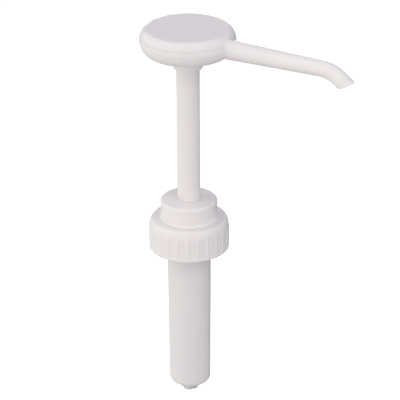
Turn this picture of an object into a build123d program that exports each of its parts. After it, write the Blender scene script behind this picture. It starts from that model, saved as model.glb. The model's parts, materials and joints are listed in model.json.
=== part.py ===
from build123d import *
from math import asin, cos, degrees, radians, sin, sqrt
import os

# Condiment pump dispenser for a jug or bottle with a 38-400 screw neck.
# Z is the pump's axis, pointing up.  Z = 0 is the underside of the neck gasket, the plane where
# the pump sits on the neck.  The spout points along +X.  Lengths are in millimetres.
# Each turned piece is drawn as half of its section, as points of (radius, height).

# ---- Clearances ----
TURNING = 0.05  # between pieces that turn or slide on each other
PUSHED = 0.02  # between pieces that are pushed or snapped together
OVERLAP = 0.3  # how far a rib or thread reaches into the wall that it joins

# ---- Broken edges ----
EDGE = 0.4
SMALL_EDGE = 0.3
LARGE_EDGE = 0.5

# ---- Neck gasket and screw closure ----
GASKET_T = 1.4
GASKET_IN_R = 12.4
GASKET_OUT_R = 17.3
DECK_Z = 5.7  # upper face of the closure's deck
DECK_T = 1.5
DECK_HOLE_R = 13.45
SHOULDER_R = 20.3  # where the flat deck starts to round over
SHOULDER_H = 3.9
CLOSURE_R = 21.85
CLOSURE_BOTTOM_Z = -12.0
BEAD_H = 1.9  # grip band round the closure's lower edge
BEAD_PROUD = 0.4
BEAD_ROOT = 1.0  # how far the band's section reaches into the skirt
BEAD_ROUND_R = 0.55
RIB_COUNT = 24
RIB_R = 0.7
RIB_PROUD = 0.4
RIB_TOP_Z = 1.6
RIB_PHASE = -2.0
THREAD_ROOT_R = 18.95
THREAD_CREST_R = 17.85
THREAD_PITCH = 25.4 / 6
THREAD_TURNS = 1.5
THREAD_START_Z = -9.3
THREAD_ROOT_W = 2.3
THREAD_CREST_W = 0.9

# ---- Cylinder ----
FLANGE_R = 18.0
FLANGE_TOP_Z = DECK_Z - DECK_T - TURNING
RIM_R = DECK_HOLE_R - TURNING - PUSHED  # the neck that stands up through the closure
RIM_TOP_Z = 12.0
SNAP_Z = 8.6  # snap bead that holds the collar on the cylinder
SNAP_R = 0.45
SNAP_INSET = 0.1
POCKET_R = 11.6  # pocket for the stem guide
POCKET_Z = 3.0
BORE_R = 10.2
CYLINDER_TOP_R = 12.15
CYLINDER_LOW_R = 11.56
FLOOR_Z = -95.3
CYLINDER_BOTTOM_Z = -98.3
CYLINDER_CORNER_R = 2.9
BOTTOM_FLAT_R = 8.6  # the bottom is flat from here out and a shallow cone inside
BOTTOM_CONE_H = 0.5
VENT_R = 0.6
VENT_Z = -6.0  # between the seal's lips when the plunger is up

# ---- Collar, stem guide and wiper ----
COLLAR_R = 15.65
COLLAR_TOP_Z = 17.0
COLLAR_EDGE_R = 2.0
COLLAR_FOOT_R = 16.6
COLLAR_FOOT_H = 1.2
COLLAR_CEILING_Z = 13.9
COLLAR_FOOT_EDGE_R = 0.6
COLLAR_HOLE_R = 6.4
COLLAR_HOLE_EDGE = 0.15
WIPER_POCKET_R = 9.0
WIPER_TOP_Z = 15.2
WIPER_WALL = 1.5  # from the stem to the crease behind the lip
WIPER_CREASE = 0.6
WIPER_LIP_T = 0.3
WIPER_LIP_H = 0.2
GUIDE_BOTTOM_Z = -1.0
GUIDE_WALL = 1.5
GUIDE_CAP_GAP = 0.6  # between the guide's top flange and the rim
GUIDE_BORE_GAP = 0.2  # between the guide's lower end and the bore
GUIDE_RIB_COUNT = 8
GUIDE_RIB_T = 1.4
GUIDE_RIB_GAP = 0.1  # between the ribs and the pocket

# ---- Stem ----
STEM_R = 6.26
STEM_BORE_R = 4.2
STEM_TOP_Z = 101.5
STEM_BOTTOM_Z = -6.55
GROOVE_Z = -3.9  # groove that snaps into the piston and lets the stem turn
GROOVE_H = 1.6
GROOVE_DEPTH = 0.45

# ---- Piston ----
PISTON_TOP_Z = GUIDE_BOTTOM_Z - TURNING
PISTON_FLANGE_R = 9.7
PISTON_TUBE_R = 7.9
PISTON_STEP_T = 0.8  # step under the stem's lower end
PISTON_STEP_R = 4.6
SEAL_TOP_Z = -2.65
SEAL_BOTTOM_Z = -10.0
SPRING_TOP_Z = -11.2
SEAL_LIP_R = BORE_R - TURNING
SEAL_WAIST_R = 9.3
SEAL_SLEEVE_T = 0.7
SEAL_VEE_H = 1.4  # depth of the groove behind each lip
SEAL_LIP_H = 2.2

# ---- Valves: a ball on a 45 degree seat, one in the piston and one in the foot ----
BALL_R = 3.2
BALL_LIFT = 2.0
BALL_GAP = 0.02
SEAT_BORE_R = 2.2
OUTLET_SEAT_Z = -14.2  # lower edge of the outlet seat's cone
OUTLET_NOSE_Z = -15.6
OUTLET_NOSE_R = STEM_R + 0.2
OUTLET_NOSE_EDGE = 0.8
OUTLET_CHAMBER_R = 4.35
STOP_RING_T = 0.9
STOP_RING_H = 4.0
STOP_BAR_W = 1.1
STOP_BAR_H = 1.2
INLET_SEAT_Z = -93.6
INLET_CHAMBER_R = 4.1

# ---- Foot: inlet nozzle with its dip tube socket ----
NIPPLE_R = 4.8
NIPPLE_TIP_R = 4.6
NIPPLE_STEP_Z = -101.9
NIPPLE_BOTTOM_Z = -103.8
SOCKET_R = 3.2
SOCKET_TOP_Z = -95.0
KEYWAY_W = 2.2  # four grooves down the outside of the nipple
KEYWAY_DEPTH = 1.0
KEYWAY_TOP_Z = -99.6
KEYWAY_ANGLE = -36.0
NOZZLE_FLANGE_R = 9.7
NOZZLE_FLANGE_T = 1.4
SEAT_WALL = 1.1
SPRING_BOTTOM_Z = -92.7
CAGE_FLANGE_R = 9.8
CAGE_IN_R = 5.25
CAGE_OUT_R = 6.4
CAGE_TOP_T = 1.2
CAGE_BAR_W = 1.4
CAGE_RIB_W = 1.2
CAGE_RIB_START = 2.0  # above the seat
CAGE_RIB_GAP = 0.2  # between the ribs and the ball
CAGE_SLOT_W = 3.4
CAGE_SLOT_L = 2.0
CAGE_SLOT_DROP = 3.2  # from the bars down to the middle of the slots

# ---- Return spring ----
SPRING_R = 7.9
WIRE_R = 0.62
SPRING_COILS = 9.5

# ---- Head ----
HEAD_R = 25.6
HEAD_WIDEST_Z = 110.2
HEAD_TOP_Z = 116.9
HEAD_TOP_R = 21.5
HEAD_BOTTOM_Z = 102.8
HEAD_BOTTOM_R = 20.0
HEAD_WALL = 1.6
HEAD_IN_R = 24.0
HEAD_RIB_COUNT = 5
HEAD_RIB_T = 1.4
HEAD_RIB_START = 60.0
HEAD_RIB_RANGE = 240.0
COVER_FLAT_R = 20.5
COVER_RING_T = 1.3  # ring under the cover that pushes into the base
COVER_RING_H = 2.6
COVER_HAUNCH_H = 0.6
SEAM_Z = 112.4  # parting line of cover and base
BELT_Z = 109.3  # lower edge of the raised belt
BELT_PROUD = 0.25
SEAM_EDGE = 0.2  # chamfers that meet in a fine groove along the parting line
HUB_R = 8.0
HUB_BOTTOM_Z = 94.2
HUB_EDGE = 0.8
CHAMBER_TOP_Z = 113.0
BOSS_TOP_Z = 114.6

# ---- Spout ----
SPOUT_Z = 109.3
SPOUT_ROOT_X = 14.0
SPOUT_ROOT_R = 5.6
SPOUT_BEND_X = 78.9
SPOUT_BEND_R = 4.22  # the tube's own radius at the bend
BEND_RADIUS = 17.65
BEND_ANGLE = 36.4
TIP_LENGTH = 5.6
MOUTH_ANGLE = 33.0  # of the cut mouth, from the horizontal
SPOUT_BORE_R = 2.8
SPIGOT_R = 4.6
SPIGOT_START_X = 7.0
PORT_R = 5.9  # the boss that takes the spigot
RING_WIRE_R = 0.42
RING_GROOVE_X = 10.4
RING_GROOVE_W = 1.2
RING_GROOVE_R = 3.8
SPIGOT_OVERLAP = 1.0
BEYOND = 2.0  # how far a cutting shape runs past the surface it cuts
SPOUT_AXIS = Axis((0, 0, SPOUT_Z), (1, 0, 0))

os.makedirs("parts", exist_ok=True)


def half_section(*points):
    """A closed half section of (radius, height) points, ready to revolve about Z."""
    with BuildSketch(Plane.XZ) as section:
        with BuildLine():
            Polyline(*points, close=True)
        make_face()
    return section.sketch


def circles(part, radius, height):
    """The part's circular edges of this radius about Z, at this height."""
    rings = part.edges().filter_by(GeomType.CIRCLE)
    at_radius = rings.filter_by(lambda ring: abs(ring.radius - radius) < 0.01)
    return at_radius.filter_by(lambda ring: abs(ring.arc_center.Z - height) < 0.01)


def ball_rest_z(seat_z):
    """Height of a ball's centre when it rests on the 45 degree cone that starts at seat_z."""
    apex_z = seat_z - SEAT_BORE_R
    return apex_z + (BALL_R + BALL_GAP) * sqrt(2)


def save(piece, name):
    """Label a finished piece and write its STEP file."""
    piece.part.label = name
    export_step(piece.part, f"parts/{name}.step")


# ---- Screw closure: ribbed skirt, rounded shoulder, deck with a hole, inner thread ----
with BuildPart() as closure:
    with BuildSketch(Plane.XZ) as closure_section:
        with BuildLine():
            Polyline(
                (CLOSURE_R, DECK_Z - SHOULDER_H),
                (CLOSURE_R, CLOSURE_BOTTOM_Z),
                (THREAD_ROOT_R, CLOSURE_BOTTOM_Z),
                (THREAD_ROOT_R, DECK_Z - DECK_T),
                (DECK_HOLE_R, DECK_Z - DECK_T),
                (DECK_HOLE_R, DECK_Z),
                (SHOULDER_R, DECK_Z),
            )
            EllipticalCenterArc(
                (SHOULDER_R, DECK_Z - SHOULDER_H),
                CLOSURE_R - SHOULDER_R,
                SHOULDER_H,
                start_angle=0,
                arc_size=90,
            )
        make_face()
    revolve(axis=Axis.Z)
    chamfer(circles(closure, THREAD_ROOT_R, CLOSURE_BOTTOM_Z), LARGE_EDGE)
    with BuildSketch(Plane.XY.offset(CLOSURE_BOTTOM_Z + BEAD_H / 2)):
        with PolarLocations(CLOSURE_R + RIB_PROUD - RIB_R, RIB_COUNT, start_angle=RIB_PHASE):
            Circle(RIB_R)
    extrude(amount=RIB_TOP_Z - CLOSURE_BOTTOM_Z - BEAD_H / 2)
    with Locations(Plane.XY.offset(RIB_TOP_Z)):
        with PolarLocations(CLOSURE_R + RIB_PROUD - RIB_R, RIB_COUNT, start_angle=RIB_PHASE):
            Sphere(RIB_R)
    with BuildSketch(Plane.XZ):
        with Locations((CLOSURE_R + (BEAD_PROUD - BEAD_ROOT) / 2, CLOSURE_BOTTOM_Z + BEAD_H / 2)):
            RectangleRounded(BEAD_PROUD + BEAD_ROOT, BEAD_H, BEAD_ROUND_R)
    revolve(axis=Axis.Z)
    with BuildLine():
        thread_path = Helix(
            THREAD_PITCH,
            THREAD_PITCH * THREAD_TURNS,
            THREAD_ROOT_R,
            center=(0, 0, THREAD_START_Z),
        )
    with BuildSketch(Plane.XZ):
        with BuildLine():
            Polyline(
                (THREAD_ROOT_R + OVERLAP, THREAD_START_Z - THREAD_ROOT_W / 2),
                (THREAD_ROOT_R + OVERLAP, THREAD_START_Z + THREAD_ROOT_W / 2),
                (THREAD_CREST_R, THREAD_START_Z + THREAD_CREST_W / 2),
                (THREAD_CREST_R, THREAD_START_Z - THREAD_CREST_W / 2),
                close=True,
            )
        make_face()
    sweep(path=thread_path, is_frenet=True)
save(closure, "closure")

# ---- Neck gasket: flat ring between the jug's rim and the cylinder's flange ----
with BuildPart() as neck_gasket:
    revolve(
        half_section(
            (GASKET_IN_R, 0),
            (GASKET_OUT_R, 0),
            (GASKET_OUT_R, GASKET_T),
            (GASKET_IN_R, GASKET_T),
        ),
        axis=Axis.Z,
    )
save(neck_gasket, "neck_gasket")

# ---- Cylinder: flange, rim with a snap bead, straight bore, tapered outside ----
with BuildPart() as cylinder:
    revolve(
        half_section(
            (POCKET_R, RIM_TOP_Z),
            (RIM_R, RIM_TOP_Z),
            (RIM_R, FLANGE_TOP_Z),
            (FLANGE_R, FLANGE_TOP_Z),
            (FLANGE_R, GASKET_T),
            (CYLINDER_TOP_R, GASKET_T),
            (CYLINDER_LOW_R, CYLINDER_BOTTOM_Z),
            (BOTTOM_FLAT_R, CYLINDER_BOTTOM_Z),
            (NIPPLE_R + PUSHED, CYLINDER_BOTTOM_Z - BOTTOM_CONE_H),
            (NIPPLE_R + PUSHED, FLOOR_Z),
            (BORE_R, FLOOR_Z),
            (BORE_R, POCKET_Z),
            (POCKET_R, POCKET_Z),
        ),
        axis=Axis.Z,
    )
    fillet(circles(cylinder, CYLINDER_LOW_R, CYLINDER_BOTTOM_Z), CYLINDER_CORNER_R)
    fillet(circles(cylinder, BORE_R, FLOOR_Z), EDGE)
    chamfer(circles(cylinder, RIM_R, RIM_TOP_Z), LARGE_EDGE)
    chamfer(circles(cylinder, BORE_R, POCKET_Z), SMALL_EDGE)
    with BuildSketch(Plane.XZ):
        with Locations((RIM_R - SNAP_INSET, SNAP_Z)):
            Circle(SNAP_R)
    revolve(axis=Axis.Z)
    with BuildSketch(Plane.YZ.offset(-CYLINDER_TOP_R - BEYOND)):
        with Locations((0, VENT_Z)):
            Circle(VENT_R)
    extrude(amount=CYLINDER_TOP_R, mode=Mode.SUBTRACT)
save(cylinder, "cylinder")

# ---- Collar: cap that snaps over the cylinder's rim and holds the closure, guide and wiper ----
with BuildPart() as collar:
    revolve(
        half_section(
            (COLLAR_HOLE_R, COLLAR_TOP_Z),
            (COLLAR_R, COLLAR_TOP_Z),
            (COLLAR_R, DECK_Z + TURNING + COLLAR_FOOT_H),
            (COLLAR_FOOT_R, DECK_Z + TURNING + COLLAR_FOOT_H),
            (COLLAR_FOOT_R, DECK_Z + TURNING),
            (RIM_R + PUSHED, DECK_Z + TURNING),
            (RIM_R + PUSHED, COLLAR_CEILING_Z),
            (WIPER_POCKET_R, COLLAR_CEILING_Z),
            (WIPER_POCKET_R, WIPER_TOP_Z),
            (COLLAR_HOLE_R, WIPER_TOP_Z),
        ),
        axis=Axis.Z,
    )
    fillet(circles(collar, COLLAR_R, COLLAR_TOP_Z), COLLAR_EDGE_R)
    fillet(circles(collar, COLLAR_R, DECK_Z + TURNING + COLLAR_FOOT_H), LARGE_EDGE)
    fillet(circles(collar, COLLAR_FOOT_R, DECK_Z + TURNING + COLLAR_FOOT_H), COLLAR_FOOT_EDGE_R)
    chamfer(circles(collar, COLLAR_HOLE_R, COLLAR_TOP_Z), COLLAR_HOLE_EDGE)
    with BuildSketch(Plane.XZ):
        with Locations((RIM_R - SNAP_INSET, SNAP_Z)):
            Circle(SNAP_R + PUSHED)
    revolve(axis=Axis.Z, mode=Mode.SUBTRACT)
save(collar, "collar")

# ---- Stem guide: flanged bush with radial ribs, its lower face is the piston's upper stop ----
with BuildPart() as stem_guide:
    revolve(
        half_section(
            (STEM_R + TURNING, GUIDE_BOTTOM_Z),
            (BORE_R - GUIDE_BORE_GAP, GUIDE_BOTTOM_Z),
            (BORE_R - GUIDE_BORE_GAP, POCKET_Z),
            (STEM_R + GUIDE_WALL, POCKET_Z + GUIDE_WALL),
            (STEM_R + GUIDE_WALL, RIM_TOP_Z),
            (RIM_R - GUIDE_CAP_GAP, RIM_TOP_Z),
            (RIM_R - GUIDE_CAP_GAP, COLLAR_CEILING_Z - PUSHED),
            (STEM_R + TURNING, COLLAR_CEILING_Z - PUSHED),
        ),
        axis=Axis.Z,
    )
    guide_rib_in_r = STEM_R + GUIDE_WALL - OVERLAP
    guide_rib_out_r = POCKET_R - GUIDE_RIB_GAP
    with BuildSketch(Plane.XY.offset(POCKET_Z + PUSHED)):
        with PolarLocations((guide_rib_in_r + guide_rib_out_r) / 2, GUIDE_RIB_COUNT):
            Rectangle(guide_rib_out_r - guide_rib_in_r, GUIDE_RIB_T)
    extrude(amount=RIM_TOP_Z - POCKET_Z)
    chamfer(circles(stem_guide, BORE_R - GUIDE_BORE_GAP, GUIDE_BOTTOM_Z), EDGE)
save(stem_guide, "stem_guide")

# ---- Stem wiper: lip ring above the guide that scrapes the stem clean ----
with BuildPart() as stem_wiper:
    revolve(
        half_section(
            (WIPER_POCKET_R - PUSHED, COLLAR_CEILING_Z),
            (WIPER_POCKET_R - PUSHED, WIPER_TOP_Z - PUSHED),
            (STEM_R + WIPER_WALL, WIPER_TOP_Z - PUSHED),
            (STEM_R + WIPER_WALL - EDGE, WIPER_TOP_Z - WIPER_CREASE),
            (STEM_R + WIPER_LIP_T, WIPER_TOP_Z - PUSHED),
            (STEM_R + TURNING, WIPER_TOP_Z - WIPER_LIP_H),
            (STEM_R + 2 * WIPER_LIP_T, COLLAR_CEILING_Z),
        ),
        axis=Axis.Z,
    )
save(stem_wiper, "stem_wiper")

# ---- Stem: hollow rod from the head down to the piston ----
with BuildPart() as stem:
    revolve(
        half_section(
            (STEM_BORE_R, STEM_BOTTOM_Z),
            (STEM_R, STEM_BOTTOM_Z),
            (STEM_R, GROOVE_Z - GROOVE_H / 2),
            (STEM_R - GROOVE_DEPTH, GROOVE_Z - GROOVE_H / 2),
            (STEM_R - GROOVE_DEPTH, GROOVE_Z + GROOVE_H / 2),
            (STEM_R, GROOVE_Z + GROOVE_H / 2),
            (STEM_R, STEM_TOP_Z),
            (STEM_BORE_R, STEM_TOP_Z),
        ),
        axis=Axis.Z,
    )
    chamfer(circles(stem, STEM_R, STEM_BOTTOM_Z), EDGE)
    chamfer(circles(stem, STEM_R, STEM_TOP_Z), EDGE)
save(stem, "stem")

# ---- Piston carrier: snaps on the stem's groove, carries the seal ----
with BuildPart() as piston_carrier:
    revolve(
        half_section(
            (STEM_R + TURNING, PISTON_TOP_Z),
            (PISTON_FLANGE_R, PISTON_TOP_Z),
            (PISTON_FLANGE_R, SEAL_TOP_Z + PUSHED),
            (PISTON_TUBE_R, SEAL_TOP_Z + PUSHED),
            (PISTON_TUBE_R, SEAL_BOTTOM_Z),
            (STEM_R + PUSHED, SEAL_BOTTOM_Z),
            (STEM_R + PUSHED, STEM_BOTTOM_Z - TURNING - PISTON_STEP_T),
            (PISTON_STEP_R, STEM_BOTTOM_Z - TURNING - PISTON_STEP_T),
            (PISTON_STEP_R, STEM_BOTTOM_Z - TURNING),
            (STEM_R + TURNING, STEM_BOTTOM_Z - TURNING),
        ),
        axis=Axis.Z,
    )
    chamfer(circles(piston_carrier, STEM_R + TURNING, PISTON_TOP_Z), EDGE)
    with BuildSketch(Plane.XZ):
        with Locations((STEM_R + GROOVE_DEPTH / 3, GROOVE_Z)):
            Circle(GROOVE_DEPTH)
    revolve(axis=Axis.Z)
save(piston_carrier, "piston_carrier")

# ---- Piston seal: ring with an upper and a lower lip against the bore ----
with BuildPart() as piston_seal:
    revolve(
        half_section(
            (PISTON_TUBE_R + PUSHED, SEAL_TOP_Z),
            (PISTON_TUBE_R + SEAL_SLEEVE_T, SEAL_TOP_Z),
            (PISTON_TUBE_R + SEAL_SLEEVE_T + SMALL_EDGE, SEAL_TOP_Z - SEAL_VEE_H),
            (SEAL_LIP_R - SMALL_EDGE, SEAL_TOP_Z),
            (SEAL_LIP_R, SEAL_TOP_Z - SMALL_EDGE),
            (SEAL_WAIST_R, SEAL_TOP_Z - SEAL_LIP_H),
            (SEAL_WAIST_R, SEAL_BOTTOM_Z + SEAL_LIP_H),
            (SEAL_LIP_R, SEAL_BOTTOM_Z + SMALL_EDGE),
            (SEAL_LIP_R - SMALL_EDGE, SEAL_BOTTOM_Z),
            (PISTON_TUBE_R + SEAL_SLEEVE_T + SMALL_EDGE, SEAL_BOTTOM_Z + SEAL_VEE_H),
            (PISTON_TUBE_R + SEAL_SLEEVE_T, SEAL_BOTTOM_Z),
            (PISTON_TUBE_R + PUSHED, SEAL_BOTTOM_Z),
        ),
        axis=Axis.Z,
    )
save(piston_seal, "piston_seal")

# ---- Outlet seat: plugs into the carrier from below, clamps the seal and seats the spring ----
with BuildPart() as outlet_seat:
    revolve(
        half_section(
            (OUTLET_CHAMBER_R, STEM_BOTTOM_Z - TURNING - PISTON_STEP_T - PUSHED),
            (STEM_R, STEM_BOTTOM_Z - TURNING - PISTON_STEP_T - PUSHED),
            (STEM_R, SEAL_BOTTOM_Z - PUSHED),
            (PISTON_FLANGE_R, SEAL_BOTTOM_Z - PUSHED),
            (PISTON_FLANGE_R, SPRING_TOP_Z),
            (OUTLET_NOSE_R, SPRING_TOP_Z),
            (OUTLET_NOSE_R, OUTLET_NOSE_Z),
            (SEAT_BORE_R, OUTLET_NOSE_Z),
            (SEAT_BORE_R, OUTLET_SEAT_Z),
            (OUTLET_CHAMBER_R, OUTLET_SEAT_Z + OUTLET_CHAMBER_R - SEAT_BORE_R),
        ),
        axis=Axis.Z,
    )
    chamfer(circles(outlet_seat, OUTLET_NOSE_R, OUTLET_NOSE_Z), OUTLET_NOSE_EDGE)
    chamfer(circles(outlet_seat, SEAT_BORE_R, OUTLET_NOSE_Z), EDGE)
save(outlet_seat, "outlet_seat")

# ---- Outlet ball stop: ring with a crossbar, pushed into the stem's lower end ----
with BuildPart() as outlet_ball_stop:
    with BuildSketch(Plane.XY.offset(STEM_BOTTOM_Z - TURNING)):
        Circle(STEM_BORE_R - PUSHED)
        Circle(STEM_BORE_R - STOP_RING_T, mode=Mode.SUBTRACT)
    extrude(amount=STOP_RING_H)
    with BuildSketch(Plane.XY.offset(STEM_BOTTOM_Z - TURNING)):
        Rectangle(2 * STEM_BORE_R - STOP_RING_T, STOP_BAR_W)
        Rectangle(STOP_BAR_W, 2 * STEM_BORE_R - STOP_RING_T)
    extrude(amount=STOP_BAR_H)
save(outlet_ball_stop, "outlet_ball_stop")

# ---- Check balls ----
with BuildPart() as outlet_ball:
    with Locations((0, 0, ball_rest_z(OUTLET_SEAT_Z))):
        Sphere(BALL_R)
save(outlet_ball, "outlet_ball")

with BuildPart() as inlet_ball:
    with Locations((0, 0, ball_rest_z(INLET_SEAT_Z))):
        Sphere(BALL_R)
save(inlet_ball, "inlet_ball")

# ---- Return spring: open coils from the inlet cage up to the outlet seat ----
with BuildPart() as return_spring:
    with BuildLine() as spring_line:
        Helix(
            (SPRING_TOP_Z - SPRING_BOTTOM_Z - 2 * WIRE_R) / SPRING_COILS,
            SPRING_TOP_Z - SPRING_BOTTOM_Z - 2 * WIRE_R,
            SPRING_R,
            center=(0, 0, SPRING_BOTTOM_Z + WIRE_R),
        )
    with BuildSketch(Plane(origin=spring_line.line @ 0, z_dir=spring_line.line % 0)):
        Circle(WIRE_R)
    sweep(path=spring_line.line, is_frenet=True)
save(return_spring, "return_spring")

# ---- Inlet nozzle: flange inside the cylinder's floor, ball seat, dip tube socket below ----
with BuildPart() as inlet_nozzle:
    revolve(
        half_section(
            (SOCKET_R, NIPPLE_BOTTOM_Z),
            (NIPPLE_TIP_R, NIPPLE_BOTTOM_Z),
            (NIPPLE_TIP_R, NIPPLE_STEP_Z),
            (NIPPLE_R, NIPPLE_STEP_Z),
            (NIPPLE_R, FLOOR_Z + PUSHED),
            (NOZZLE_FLANGE_R, FLOOR_Z + PUSHED),
            (NOZZLE_FLANGE_R, FLOOR_Z + NOZZLE_FLANGE_T),
            (INLET_CHAMBER_R + SEAT_WALL, FLOOR_Z + NOZZLE_FLANGE_T),
            (INLET_CHAMBER_R + SEAT_WALL, INLET_SEAT_Z + INLET_CHAMBER_R - SEAT_BORE_R),
            (INLET_CHAMBER_R, INLET_SEAT_Z + INLET_CHAMBER_R - SEAT_BORE_R),
            (SEAT_BORE_R, INLET_SEAT_Z),
            (SEAT_BORE_R, SOCKET_TOP_Z),
            (SOCKET_R, SOCKET_TOP_Z),
        ),
        axis=Axis.Z,
    )
    fillet(circles(inlet_nozzle, NIPPLE_TIP_R, NIPPLE_BOTTOM_Z), LARGE_EDGE)
    with BuildSketch(Plane.XY.offset(NIPPLE_BOTTOM_Z)):
        with PolarLocations(NIPPLE_R - KEYWAY_DEPTH + BEYOND / 2, 4, start_angle=KEYWAY_ANGLE):
            Rectangle(BEYOND, KEYWAY_W)
    extrude(amount=KEYWAY_TOP_Z - NIPPLE_BOTTOM_Z, mode=Mode.SUBTRACT)
save(inlet_nozzle, "inlet_nozzle")

# ---- Inlet ball cage: seats the spring, guides the ball and limits its lift ----
cage_bar_z = ball_rest_z(INLET_SEAT_Z) + BALL_R + BALL_LIFT + TURNING
cage_top_z = cage_bar_z + CAGE_TOP_T
cage_foot_z = FLOOR_Z + NOZZLE_FLANGE_T + PUSHED
cage_rib_z = INLET_SEAT_Z + CAGE_RIB_START
cage_rib_in_r = BALL_R + CAGE_RIB_GAP / 2

with BuildPart() as inlet_ball_cage:
    revolve(
        half_section(
            (CAGE_IN_R, cage_foot_z),
            (CAGE_FLANGE_R, cage_foot_z),
            (CAGE_FLANGE_R, SPRING_BOTTOM_Z),
            (CAGE_OUT_R, SPRING_BOTTOM_Z),
            (CAGE_OUT_R, cage_top_z),
            (CAGE_IN_R, cage_top_z),
        ),
        axis=Axis.Z,
    )
    with BuildSketch(Plane.XY.offset(cage_bar_z)):
        Rectangle(2 * (CAGE_IN_R + OVERLAP), CAGE_BAR_W)
        Rectangle(CAGE_BAR_W, 2 * (CAGE_IN_R + OVERLAP))
    extrude(amount=CAGE_TOP_T)
    with BuildSketch(Plane.XY.offset(cage_rib_z)):
        with PolarLocations((cage_rib_in_r + CAGE_IN_R + OVERLAP) / 2, 4):
            Rectangle(CAGE_IN_R + OVERLAP - cage_rib_in_r, CAGE_RIB_W)
    extrude(amount=cage_bar_z - cage_rib_z)
    for plane in (Plane.XZ.rotated((0, 0, 45)), Plane.XZ.rotated((0, 0, -45))):
        with BuildSketch(plane):
            with Locations((0, cage_bar_z - CAGE_SLOT_DROP)):
                SlotCenterToCenter(CAGE_SLOT_L, CAGE_SLOT_W, rotation=90)
        extrude(amount=2 * CAGE_OUT_R, both=True, mode=Mode.SUBTRACT)
save(inlet_ball_cage, "inlet_ball_cage")

# ---- Spout: tapered tube that bends down to a slanted mouth, with a spigot inside the head ----
def spout_section(start_x, end_x, clearance):
    """Half section of the spout's tapered outside between two distances from the pump's axis."""
    slope = (SPOUT_BEND_R - SPOUT_ROOT_R) / (SPOUT_BEND_X - SPOUT_ROOT_X)
    start_r = SPOUT_ROOT_R + slope * (start_x - SPOUT_ROOT_X) + clearance
    end_r = SPOUT_ROOT_R + slope * (end_x - SPOUT_ROOT_X) + clearance
    return half_section(
        (start_x, SPOUT_Z),
        (end_x, SPOUT_Z),
        (end_x, SPOUT_Z + end_r),
        (start_x, SPOUT_Z + start_r),
    )


with BuildLine(Plane.XZ) as spout_line:
    spout_run = Line((SPIGOT_START_X - BEYOND, SPOUT_Z), (SPOUT_BEND_X, SPOUT_Z))
    spout_bend = CenterArc((SPOUT_BEND_X, SPOUT_Z - BEND_RADIUS), BEND_RADIUS, 90, -BEND_ANGLE)
    spout_tip = Line(spout_bend @ 1, spout_bend @ 1 + (spout_bend % 1) * 2 * TIP_LENGTH)
mouth_centre = spout_bend @ 1 + (spout_bend % 1) * TIP_LENGTH
mouth_normal = (sin(radians(MOUTH_ANGLE)), 0, -cos(radians(MOUTH_ANGLE)))

with BuildPart() as spout:
    revolve(spout_section(SPOUT_ROOT_X, SPOUT_BEND_X, 0), axis=SPOUT_AXIS)
    revolve(
        half_section(
            (SPIGOT_START_X, SPOUT_Z),
            (SPIGOT_START_X, SPOUT_Z + SPIGOT_R - EDGE),
            (SPIGOT_START_X + EDGE, SPOUT_Z + SPIGOT_R),
            (RING_GROOVE_X, SPOUT_Z + SPIGOT_R),
            (RING_GROOVE_X, SPOUT_Z + RING_GROOVE_R),
            (RING_GROOVE_X + RING_GROOVE_W, SPOUT_Z + RING_GROOVE_R),
            (RING_GROOVE_X + RING_GROOVE_W, SPOUT_Z + SPIGOT_R),
            (SPOUT_ROOT_X + SPIGOT_OVERLAP, SPOUT_Z + SPIGOT_R),
            (SPOUT_ROOT_X + SPIGOT_OVERLAP, SPOUT_Z),
        ),
        axis=SPOUT_AXIS,
    )
    with BuildSketch(Plane(origin=spout_bend @ 0, z_dir=spout_bend % 0)):
        Circle(SPOUT_BEND_R)
    sweep(path=Wire([spout_bend, spout_tip]))
    with BuildSketch(Plane(origin=spout_run @ 0, z_dir=spout_run % 0)):
        Circle(SPOUT_BORE_R)
    sweep(path=spout_line.line, mode=Mode.SUBTRACT)
    split(bisect_by=Plane(origin=mouth_centre, z_dir=mouth_normal), keep=Keep.BOTTOM)
save(spout, "spout")

# ---- Spout seal: O-ring on the spigot ----
with BuildPart() as spout_seal:
    with BuildSketch(Plane.XZ):
        with Locations((RING_GROOVE_X + RING_GROOVE_W / 2, SPOUT_Z + RING_GROOVE_R + RING_WIRE_R)):
            Circle(RING_WIRE_R)
    revolve(axis=SPOUT_AXIS)
save(spout_seal, "spout_seal")

# ---- Head base: bowl with a hub for the stem, an inner chamber and a port for the spout ----
seam_angle = degrees(asin((SEAM_Z - HEAD_WIDEST_Z) / (HEAD_TOP_Z - HEAD_WIDEST_Z)))
belt_angle = degrees(asin((BELT_Z - HEAD_WIDEST_Z) / (HEAD_WIDEST_Z - HEAD_BOTTOM_Z)))

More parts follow.
